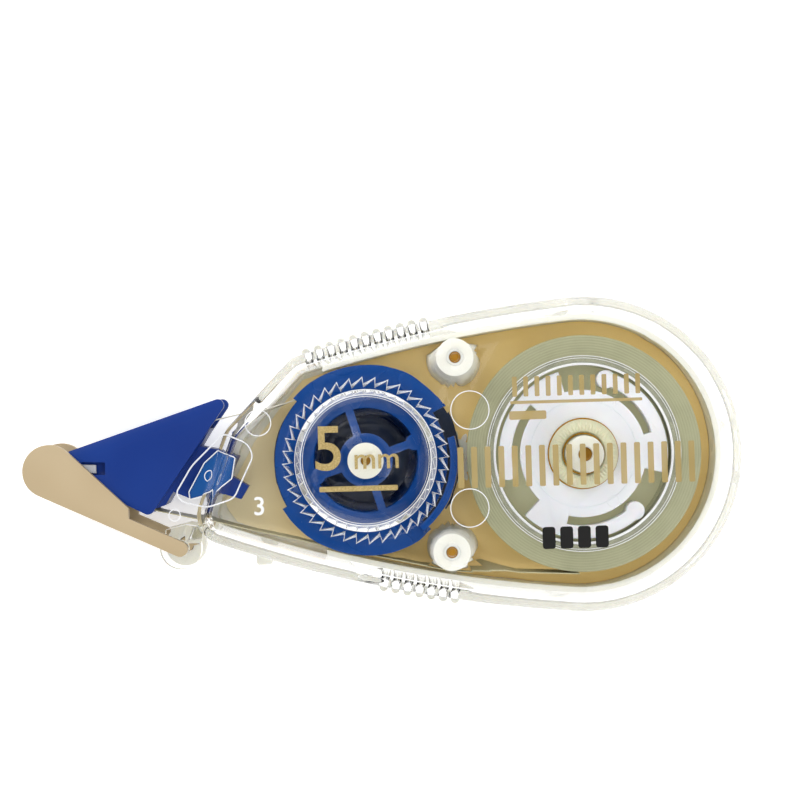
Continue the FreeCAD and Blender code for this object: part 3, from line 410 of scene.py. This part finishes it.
def raised_ring(name, x, y, z, radius, half_width, height, body, material, around=96):
    """A low round-backed ring standing height above z; moulded rings use it, and so do the white
    painted-highlight beads.
    """
    deselect()
    bpy.ops.mesh.primitive_torus_add(location=(x, y, z), major_radius=radius * MM,
                                     minor_radius=half_width * MM, major_segments=around, minor_segments=8)
    ring = bpy.context.object
    ring.name = name
    bpy.ops.object.mode_set(mode="EDIT")
    bpy.ops.mesh.select_all(action="SELECT")
    bpy.ops.transform.resize(value=(1, 1, height / half_width), center_override=(x, y, z))
    bpy.ops.object.mode_set(mode="OBJECT")
    finish_piece(ring, body, material)


# The two screw posts of the rear shell have a low rim round their mouths.
for name, (x, y) in (("upper", UPPER_POST), ("lower", LOWER_POST)):
    raised_ring(f"{name}_post_rim", x, y, POST_MOUTH_Z - 0.14 * MM, 0.74, 0.13, 0.08,
                "case", ivory, 40)

# The core's polished edges catch the light; they are drawn as thin white rings on its front, painted
# highlights.
bright, tree, shader = new_material("painted_highlight_white", IOR=1.55, Coat_Weight=0.5)
add_two_tones(tree, shader, add_moulded_skin(tree, shader, 0.5, 0.001, 0.1, 0.2).outputs["Fac"],
              "F4F6FA", "FFFFFF")
CORE_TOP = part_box("reel_core")[1].z
raised_ring("core_inner_edge", SUPPLY_X, 0, CORE_TOP, 9.55, 0.13, 0.08, "supply_reel", bright)
raised_ring("core_outer_edge", SUPPLY_X, 0, CORE_TOP, 10.42, 0.04, 0.04, "supply_reel", bright)
raised_ring("core_outer_step", SUPPLY_X, 0, CORE_TOP, 10.18, 0.03, 0.03, "supply_reel", bright)

clutch = finished_copy("clutch_disc", 0.12)
# Pearl-white acetal: cool white, smooth, with a soft gloss.
pearl, tree, shader = new_material("pearl_white_acetal", IOR=1.5, Subsurface_Weight=0.2,
                                   Subsurface_Scale=0.0006, Coat_Weight=0.2, Coat_Roughness=0.2)
add_two_tones(tree, shader, add_moulded_skin(tree, shader, 0.2, 0.003, 0.26, 0.36).outputs["Fac"],
              "E8E9EE", "F1F2F5")
put_on(clutch, pearl)

# A step round the disc, the marks of three ejector pins drawn as white rings that are painted highlights,
# and amber rings round the gear's hub and just inside its mouth.
DISC_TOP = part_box("clutch_disc")[1].z
HUB_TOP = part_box("supply_gear")[1].z
raised_ring("clutch_step", SUPPLY_X, 0, DISC_TOP, 5.75, 0.07, 0.04, "clutch", pearl)
for index, degrees in enumerate((181, 301, 61)):
    turn = math.radians(degrees)
    raised_ring(f"ejector_mark_{index + 1}", SUPPLY_X + 6.1 * MM * math.cos(turn), 6.1 * MM * math.sin(turn),
                DISC_TOP, 0.62, 0.06, 0.04, "clutch", bright, 32)
raised_ring("hub_amber_ring", SUPPLY_X, 0, DISC_TOP + 0.05 * MM, 3.72, 0.09, 0.06, "clutch", amber)
raised_ring("hub_mouth_amber_ring", SUPPLY_X, 0, HUB_TOP - 0.5 * MM, 2.16, 0.09, 0.06,
            "clutch", amber, 64)

# ---------------------------------------------------------------- head and blade
# The blue head guides the tape between two guard plates and is hooked into the nose by its stem.
# A thin white blade stands in its front, over whose edge the tape turns onto the paper.

head = finished_copy("head_body", 0.25)
ultramarine, tree, shader = new_material("ultramarine_abs", IOR=1.5)
add_two_tones(tree, shader, add_moulded_skin(tree, shader, 0.2, 0.004, 0.34, 0.46).outputs["Fac"],
              "002C7E", "01388E")
put_on(head, ultramarine)


def extruded_outline(name, corners, low_mm, high_mm, edge_mm):
    """A plate with the given outline: a circle's corners are moved to the outline, filled and extruded."""
    deselect()
    bpy.ops.mesh.primitive_circle_add(vertices=len(corners), radius=1 * MM, fill_type="NGON")
    plate = bpy.context.object
    plate.name = name
    for vertex, (x, y) in zip(plate.data.vertices, corners):
        vertex.co = (x * MM, y * MM, low_mm * MM)
    bpy.ops.object.mode_set(mode="EDIT")
    bpy.ops.mesh.select_all(action="SELECT")
    bpy.ops.mesh.extrude_region_move(TRANSFORM_OT_translate={"value": (0, 0, (high_mm - low_mm) * MM)})
    bpy.ops.mesh.select_all(action="SELECT")
    bpy.ops.mesh.normals_make_consistent(inside=False)
    bpy.ops.object.mode_set(mode="OBJECT")
    rounding = plate.modifiers.new("moulded_edges", "BEVEL")
    rounding.width = edge_mm * MM
    rounding.segments = 3
    bpy.ops.object.modifier_apply(modifier=rounding.name)
    return plate


# The stem's blue end block fills the socket in the cover, with the mark of its locating pin; the mark's
# white ring is a painted highlight.
JOINTS = frame["record"]["behaviour"]["joints"]
HINGE = Vector(next(joint["pos_m"] for joint in JOINTS if joint["name"] == "cap_flip"))
STEM_CORNERS = ((4.3, 10.3), (2.8, 9.0), (1.1, 6.0), (1.2, 5.2), (3.7, 5.8), (5.7, 7.3), (6.1, 9.5))
stem_corners = [(x + HINGE.x / MM, y + HINGE.y / MM) for x, y in STEM_CORNERS]
stem = extruded_outline("head_stem_block", stem_corners, 9.8, 11.2, 0.15)
stem_blue, tree, shader = new_material("stem_blue_abs", IOR=1.53, Coat_Weight=0.3)
add_two_tones(tree, shader, add_moulded_skin(tree, shader, 0.3, 0.004, 0.2, 0.32).outputs["Fac"],
              "084A8C", "0D5299")
finish_piece(stem, "case", stem_blue)
raised_ring("stem_pin_mark", HINGE.x + 3.4 * MM, HINGE.y + 7.6 * MM, 11.2 * MM, 0.6, 0.05, 0.04,
            "case", bright, 40)

blade = finished_copy("nib_blade", 0.04)
# White elastomer: even and half matt.
white_elastomer, tree, shader = new_material("white_elastomer", IOR=1.5)
add_two_tones(tree, shader, add_moulded_skin(tree, shader, 0.2, 0.003, 0.35, 0.5).outputs["Fac"],
              "F0F0EC", "F8F8F4")
put_on(blade, white_elastomer)

# ---------------------------------------------------------------- cap
# The beige cap covers the blade and flips about two pins at the lower corner of the nose.
# Moulded in satin ABS: two plates joined by a wall along the tip and the lower edge.

cap = finished_copy("cap", 0.28)
beige, tree, shader = new_material("beige_satin_abs", IOR=1.53)
add_two_tones(tree, shader, add_moulded_skin(tree, shader, 0.15, 0.005, 0.38, 0.5).outputs["Fac"],
              "BDA783", "C8B491")
put_on(cap, beige)

# ---------------------------------------------------------------- front cover
# The clear front shell closes the case; its inside carries the ratchet ring and the grip ribs its sides.
# Polished clear polystyrene, so the rim bends light and the flat window hardly shows.

cover = finished_copy("front_cover", 0)
clear, tree, shader = new_material("clear_polystyrene", IOR=1.3, Transmission_Weight=1.0)
shader.inputs["Base Color"].default_value = (1, 1, 1, 1)
add_moulded_skin(tree, shader, 1.5, 0.0001, 0.0, 0.02)
path = add_node(tree, "ShaderNodeLightPath")
through = add_node(tree, "ShaderNodeBsdfTransparent")
mix = add_node(tree, "ShaderNodeMixShader",
               links={0: path.outputs["Is Shadow Ray"], 1: shader.outputs[0], 2: through.outputs[0]})
tree.links.new(mix.outputs[0], tree.nodes["Material Output"].inputs["Surface"])
put_on(cover, clear)

# Where the cover's moulded edges turn sharply they gather light into fine white lines.
# Each line is drawn as a thin white bead along the real edge: a painted highlight.


def bead(piece, thickness_mm, sides=1):
    """Turn a piece made of edges only into a round bead along them."""
    deselect()
    piece.select_set(True)
    bpy.context.view_layer.objects.active = piece
    bpy.ops.object.convert(target="CURVE")
    piece = bpy.context.object
    piece.data.bevel_depth = thickness_mm / 2 * MM
    piece.data.bevel_resolution = sides
    bpy.ops.object.convert(target="MESH")
    return bpy.context.object


WINDOW_Z = FRONT_Z - 1.25 * MM
RATCHET_Z = WINDOW_Z - 1.2 * MM
RATCHET_TEETH = 40
RATCHET_ROOT, RATCHET_TIP = 7.75, 8.72
TIP_LEAD = math.radians(0.12 * 360 / RATCHET_TEETH - 180 / RATCHET_TEETH)
deselect()
bpy.ops.mesh.primitive_circle_add(vertices=2 * RATCHET_TEETH, radius=RATCHET_ROOT * MM,
                                  fill_type="NOTHING", location=(TAKE_UP_X, 0, RATCHET_Z))
teeth = bpy.context.object
teeth.name = "ratchet_outline"
flatten_place(teeth)
for vertex in teeth.data.vertices:
    step = round(math.atan2(vertex.co.y, vertex.co.x - TAKE_UP_X) / (math.pi / RATCHET_TEETH))
    vertex.select = step % 2 == 1
for edge in teeth.data.edges:
    edge.select = False
bpy.ops.object.mode_set(mode="EDIT")
bpy.context.tool_settings.mesh_select_mode = (True, False, False)
centre = (TAKE_UP_X, 0, RATCHET_Z)
OUTWARD = RATCHET_TIP / RATCHET_ROOT
bpy.ops.transform.resize(value=(OUTWARD, OUTWARD, 1), center_override=centre)
bpy.ops.transform.rotate(value=-TIP_LEAD, orient_axis="Z", center_override=centre)
bpy.ops.object.mode_set(mode="OBJECT")
bpy.context.tool_settings.mesh_select_mode = (False, False, True)
teeth = bead(teeth, 0.15)
finish_piece(teeth, "case", bright)
for name, radius, half_width, height in (("edge", 7.42, 0.10, 0.05), ("step", 7.14, 0.03, 0.03)):
    raised_ring(f"ratchet_ring_{name}", TAKE_UP_X, 0, RATCHET_Z, radius, half_width, height,
                "case", bright, 160)

# Four round witness marks, left in the window by the mould's ejector pins; their thin white rings are
# painted highlights on the marks' edges.
WITNESS_MARKS = ((-12.03, 5.01, 2.0), (-12.33, -5.23, 2.0), (-34.22, 4.30, 1.35), (-43.2, -5.1, 0.6))
for index, (x, y, radius) in enumerate(WITNESS_MARKS):
    raised_ring(f"witness_mark_{index + 1}", SUPPLY_X + x * MM, y * MM, FRONT_Z, radius, 0.05, 0.02,
                "case", bright, 64)


def outline_bead(name, corners, height_mm, thickness_mm, round_mm):
    """A bead round a closed outline with rounded corners."""
    deselect()
    bpy.ops.mesh.primitive_circle_add(vertices=len(corners), radius=1 * MM, fill_type="NOTHING")
    loop = bpy.context.object
    loop.name = name
    for vertex, (x, y) in zip(loop.data.vertices, corners):
        vertex.co = (x * MM, y * MM, height_mm * MM)
    bpy.ops.object.mode_set(mode="EDIT")
    bpy.ops.mesh.select_all(action="SELECT")
    bpy.ops.mesh.bevel(offset=round_mm * MM, segments=4, affect="VERTICES")
    bpy.ops.object.mode_set(mode="OBJECT")
    loop = bead(loop, thickness_mm)
    finish_piece(loop, "case", bright)


# The socket that holds the head's stem is a clear box moulded under the window. Its outline and the stem's
# are drawn as thin white beads: painted highlights along their edges.
SOCKET = ((5.0, 12.1), (3.9, 11.0), (1.6, 8.8), (-0.2, 5.9), (0.5, 5.0),
          (3.3, 4.3), (6.0, 5.3), (6.9, 7.2), (8.1, 9.6), (7.6, 10.9))
socket_corners = [(x + HINGE.x / MM, y + HINGE.y / MM) for x, y in SOCKET]
outline_bead("socket_edge", socket_corners, 12.4, 0.16, 0.5)
outline_bead("stem_edge", stem_corners, 11.3, 0.12, 0.1)

# ---------------------------------------------------------------- printing
# Pad-printed marks on the window: the tape width in gold, plain gold ticks and bars, and black blocks.
# Metallic ink lies flat and slightly grainy; the black is a dense matt ink.

ink, tree, shader = new_material("gold_pad_print_ink", IOR=1.5, Metallic=0.35)
place = add_node(tree, "ShaderNodeTexCoord").outputs["Object"]
# flakes of 0.15 mm, coarser than the real pigment so that they show
flakes = add_node(tree, "ShaderNodeTexVoronoi", {"Scale": 1 / (0.15 * MM)}, {"Vector": place})
tone = add_node(tree, "ShaderNodeMix", {"A": linear("A98D4E"), "B": linear("E2CC90")},
                {"Factor": flakes.outputs["Distance"]}, data_type="RGBA")
gloss = add_node(tree, "ShaderNodeMapRange", {"To Min": 0.3, "To Max": 0.55},
                 {"Value": flakes.outputs["Distance"]})
tree.links.new(tone.outputs["Result"], shader.inputs["Base Color"])
tree.links.new(gloss.outputs["Result"], shader.inputs["Roughness"])
faint_ink, tree, shader = new_material("thin_gold_pad_print", IOR=1.5, Metallic=0.2, Alpha=0.7)
add_two_tones(tree, shader, add_moulded_skin(tree, shader, 0.12, 0.004, 0.35, 0.55).outputs["Fac"],
              "BDA25F", "DCC68E")
black_ink, tree, shader = new_material("black_pad_print_ink", IOR=1.5)
add_two_tones(tree, shader, add_moulded_skin(tree, shader, 0.12, 0.003, 0.4, 0.55).outputs["Fac"],
              "101010", "1C1B1A")
INK_MM = 0.02


def printed_block(name, x, y, width, height, material):
    """A flat printed rectangle with softened corners, its middle at x, y from the take-up axis in mm."""
    deselect()
    bpy.ops.mesh.primitive_cube_add(size=1, location=(TAKE_UP_X + x * MM, y * MM, FRONT_Z + INK_MM / 2 * MM),
                                    scale=(width * MM, height * MM, INK_MM * MM))
    block = bpy.context.object
    block.name = name
    bpy.ops.object.transform_apply(location=True, rotation=True, scale=True)
    bpy.ops.object.mode_set(mode="EDIT")
    bpy.ops.mesh.select_all(action="DESELECT")
    bpy.ops.object.mode_set(mode="OBJECT")
    for edge in block.data.edges:
        ends = [block.data.vertices[index].co for index in edge.vertices]
        edge.select = abs(ends[0].z - ends[1].z) > INK_MM / 2 * MM
    bpy.context.tool_settings.mesh_select_mode = (False, True, False)
    bpy.ops.object.mode_set(mode="EDIT")
    bpy.ops.mesh.bevel(offset=min(width, height) * 0.2 * MM, segments=2, affect="EDGES")
    bpy.ops.object.mode_set(mode="OBJECT")
    bpy.context.tool_settings.mesh_select_mode = (False, False, True)
    finish_piece(block, "case", material)


def printed_text(name, words, x, y, size, material):
    """Flat printed figures, their lower left corner at x, y from the take-up axis in mm."""
    deselect()
    bpy.ops.object.text_add(location=(TAKE_UP_X + x * MM, y * MM, FRONT_Z))
    text = bpy.context.object
    text.name = name
    text.data.body = words
    text.data.size = size * MM
    text.data.offset = 0.008 * size * MM
    text.data.extrude = INK_MM / 2 * MM
    bpy.ops.object.convert(target="MESH")
    text = bpy.context.object
    text.name = name
    finish_piece(text, "case", material)


printed_text("tape_width_figure", "5", -5.5, -0.8, 6.6, ink)
printed_text("tape_width_unit", "mm", -1.3, -0.8, 3.2, ink)
# the mould cavity's number stands slightly proud of the window near the nose; its white is a painted
# highlight
printed_text("cavity_number", "3", -11.9, -5.3, 2.7, bright)
printed_block("gold_bar", -0.8, -2.85, 8.2, 0.55, ink)
for index in range(18):
    printed_block(f"gold_tick_{index + 1:02d}", 9.95 + 1.42 * index, -1.0, 0.62, 4.3, faint_ink)
for index in range(12):
    printed_block(f"gold_scale_{index + 1:02d}", 15.8 + 1.17 * index, 7.3, 0.5, 2.1, faint_ink)
printed_block("gold_rule", 22.2, 5.65, 13.8, 0.32, faint_ink)
printed_block("gold_dash", 17.1, 4.3, 3.9, 0.9, faint_ink)
for index in range(4):
    printed_block(f"black_block_{index + 1}", 18.95 + 1.85 * index, -8.6, 1.35, 2.3, black_ink)
